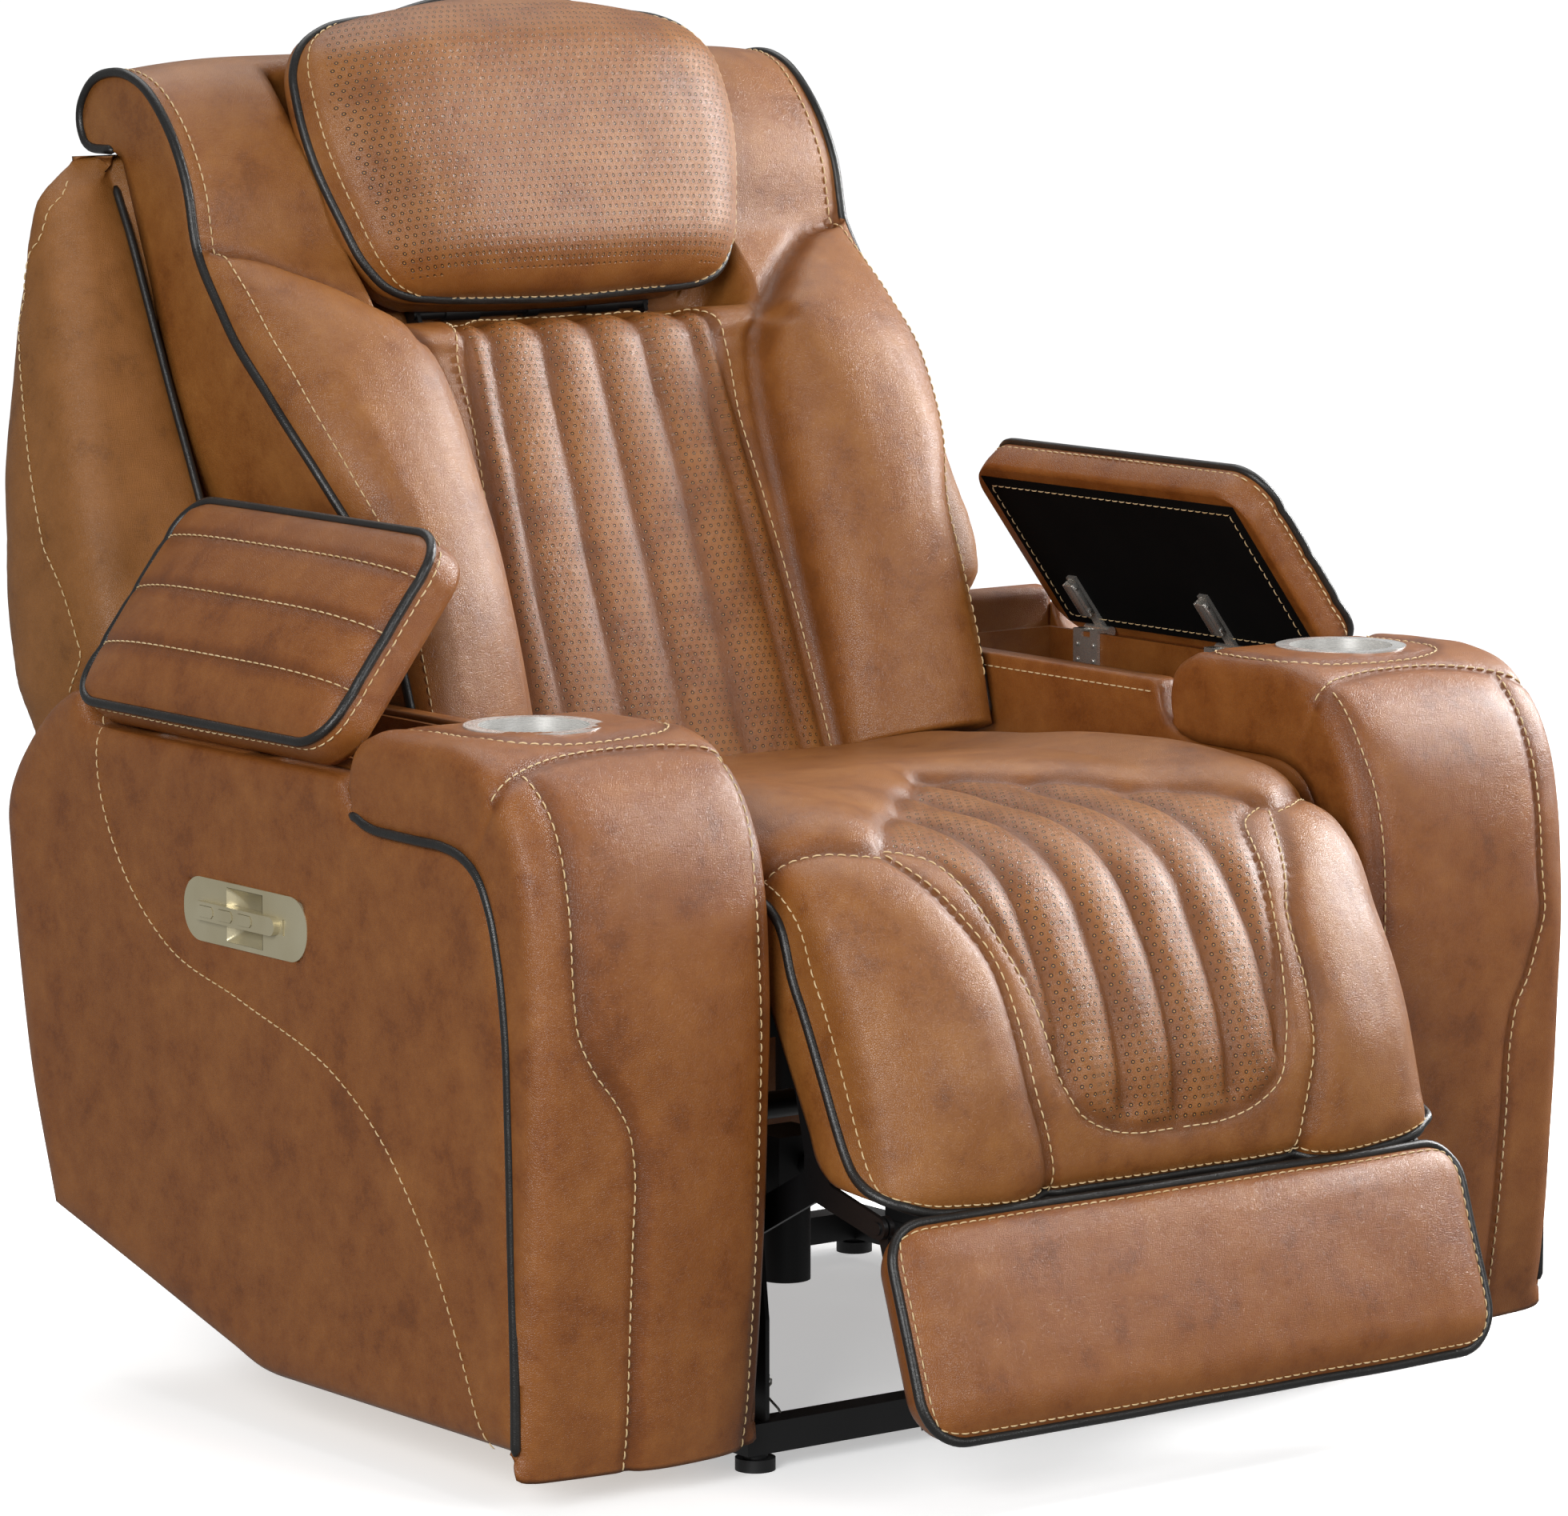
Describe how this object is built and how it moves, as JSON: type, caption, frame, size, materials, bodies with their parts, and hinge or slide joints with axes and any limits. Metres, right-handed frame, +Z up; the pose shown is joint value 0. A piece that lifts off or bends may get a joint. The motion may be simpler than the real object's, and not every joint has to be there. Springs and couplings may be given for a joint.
{
  "type": "power recliner",
  "caption": "Leather power recliner with a lifting footrest, tilting headrest and padded arms that have lidded storage, cup holders and a button panel.",
  "frame": {"origin": "On the floor, under the middle of the overall box of the recliner as stored, with its lids open, its footrest a little raised and its back upright.", "axes": "+Z is up; -Y is the front, where the sitter's feet are; +X is to the right for a person who looks at the recliner from the front, and the control panel is on the arm at -X. The YZ plane is the middle plane of the seat."},
  "size_m": [1.076, 1.118, 1.1214],
  "materials": {
    "leather_brown": "semi-aniline cowhide with a mottled brown tone and a low sheen",
    "steel_black": "satin black powder coat",
    "steel_bright": "bright zinc-plated spring steel and hinge steel",
    "hardwood": "plain sawn hardwood and plywood, unfinished",
    "felt_black": "black felt over a board",
    "cup_metal": "brushed and lacquered aluminium",
    "plate_champagne": "champagne anodised, fine satin",
    "plastic_black": "moulded black plastic",
    "plastic_nut": "natural nylon"
  },
  "bodies": {
    "base": {"seat_cushion": "leather_brown", "arm_outer_left": "leather_brown", "arm_outer_right": "leather_brown", "arm_inner_left": "leather_brown", "arm_inner_right": "leather_brown", "arm_front_left": "leather_brown", "arm_front_right": "leather_brown", "arm_rear_left": "leather_brown", "arm_rear_right": "leather_brown", "storage_bin_left": "leather_brown", "storage_bin_right": "leather_brown", "rear_valance": "leather_brown", "cross_rails": "steel_black", "side_rails": "steel_black", "mechanism_plate_left": "steel_black", "mechanism_plate_right": "steel_black", "motor_bars": "steel_black", "seat_springs": "steel_bright", "base_springs": "steel_bright", "hinge_leaves": "steel_bright", "seat_side_rails": "hardwood", "seat_cross_rails": "hardwood", "arm_frame_left": "hardwood", "arm_frame_right": "hardwood", "cup_holder_left": "cup_metal", "cup_holder_right": "cup_metal", "control_plate": "plate_champagne", "glides": "plastic_black", "power_socket": "plastic_black", "footrest_motor": "plastic_black", "recline_motor": "plastic_black"},
    "calf": {"calf_frame": "steel_black", "calf_cushion": "leather_brown"},
    "footrest": {"footrest_frame": "steel_black", "footrest_cushion": "leather_brown"},
    "rear_links": {"rear_links": "steel_black"},
    "front_links": {"front_links": "steel_black"},
    "coupler_links": {"coupler_links": "steel_black"},
    "footrest_nut": {"footrest_nut": "plastic_nut"},
    "recline_nut": {"recline_nut": "plastic_nut"},
    "backrest": {"back_side_rails": "hardwood", "back_cross_rails": "hardwood", "recline_brackets": "steel_black", "back_cushion": "leather_brown", "back_shell": "leather_brown", "headrest_motor": "plastic_black", "headrest_support": "steel_black"},
    "headrest": {"headrest_frame": "steel_black", "headrest_cushion": "leather_brown"},
    "headrest_slider": {"headrest_slider": "plastic_nut"},
    "lid_left": {"lid_board_left": "felt_black", "lid_pad_left": "leather_brown", "lid_hinges_left": "steel_bright"},
    "lid_right": {"lid_board_right": "felt_black", "lid_pad_right": "leather_brown", "lid_hinges_right": "steel_bright"},
    "button_recline": {"button_recline": "plate_champagne"},
    "button_headrest": {"button_headrest": "plate_champagne"},
    "button_footrest": {"button_footrest": "plate_champagne"}
  },
  "joints": [
    {"name": "calf_swing", "type": "hinge", "parent": "base", "child": "calf", "pos_m": [0, -0.4208, 0.43], "axis": [-1, 0, 0], "range_deg": [-6, 62]},
    {"name": "footrest_tilt", "type": "hinge", "parent": "calf", "child": "footrest", "pos_m": [0, -0.4668, 0.214], "axis": [-1, 0, 0], "range_deg": [-1, 9.5]},
    {"name": "rear_swing", "type": "hinge", "parent": "base", "child": "rear_links", "pos_m": [0, -0.2308, 0.33], "axis": [-1, 0, 0], "range_deg": [-6.2, 62.2]},
    {"name": "front_swing", "type": "hinge", "parent": "base", "child": "front_links", "pos_m": [0, -0.3163, 0.375], "axis": [-1, 0, 0], "range_deg": [-6.2, 62.2]},
    {"name": "coupler_swing", "type": "hinge", "parent": "rear_links", "child": "coupler_links", "pos_m": [0, -0.2008, 0.14], "axis": [-1, 0, 0], "range_deg": [-62.2, 6.2]},
    {"name": "footrest_drive", "type": "slide", "parent": "base", "child": "footrest_nut", "axis": [0, -0.927, 0.375], "range_m": [-0.0068, 0.0696]},
    {"name": "recline", "type": "hinge", "parent": "base", "child": "backrest", "pos_m": [0, 0.1892, 0.4], "axis": [-1, 0, 0], "range_deg": [0, 36]},
    {"name": "recline_drive", "type": "slide", "parent": "base", "child": "recline_nut", "axis": [0, -0.9791, -0.2036], "range_m": [-0.0001, 0.05]},
    {"name": "headrest_tilt", "type": "hinge", "parent": "backrest", "child": "headrest", "pos_m": [0, 0.37832, 0.85411], "axis": [1, 0, 0], "range_deg": [0, 26]},
    {"name": "headrest_lift", "type": "slide", "parent": "backrest", "child": "headrest_slider", "axis": [0, 0.3795, 0.9252], "range_m": [-0.0001, 0.0142]},
    {"name": "lid_left_hinge", "type": "hinge", "parent": "base", "child": "lid_left", "pos_m": [-0.5, 0.1142, 0.553], "axis": [0, -1, 0], "range_deg": [-52.8, 10]},
    {"name": "lid_right_hinge", "type": "hinge", "parent": "base", "child": "lid_right", "pos_m": [0.5, 0.1142, 0.553], "axis": [0, 1, 0], "range_deg": [-52.8, 10]},
    {"name": "button_recline_press", "type": "slide", "parent": "base", "child": "button_recline", "axis": [1, 0, 0], "range_m": [0, 0.001], "stiffness_N_per_m": 400},
    {"name": "button_headrest_press", "type": "slide", "parent": "base", "child": "button_headrest", "axis": [1, 0, 0], "range_m": [0, 0.001], "stiffness_N_per_m": 400},
    {"name": "button_footrest_press", "type": "slide", "parent": "base", "child": "button_footrest", "axis": [1, 0, 0], "range_m": [0, 0.001], "stiffness_N_per_m": 400}
  ],
  "couplings": [
    {"joint": "footrest_tilt", "follows": "calf_swing", "ratio": 0.15},
    {"joint": "rear_swing", "follows": "calf_swing", "ratio": 1},
    {"joint": "front_swing", "follows": "calf_swing", "ratio": 1},
    {"joint": "coupler_swing", "follows": "calf_swing", "ratio": -1},
    {"joint": "footrest_drive", "follows": "calf_swing", "m_per_rad": 0.064087},
    {"joint": "recline_drive", "follows": "recline", "m_per_rad": 0.079303},
    {"joint": "headrest_lift", "follows": "headrest_tilt", "m_per_rad": 0.031}
  ]
}
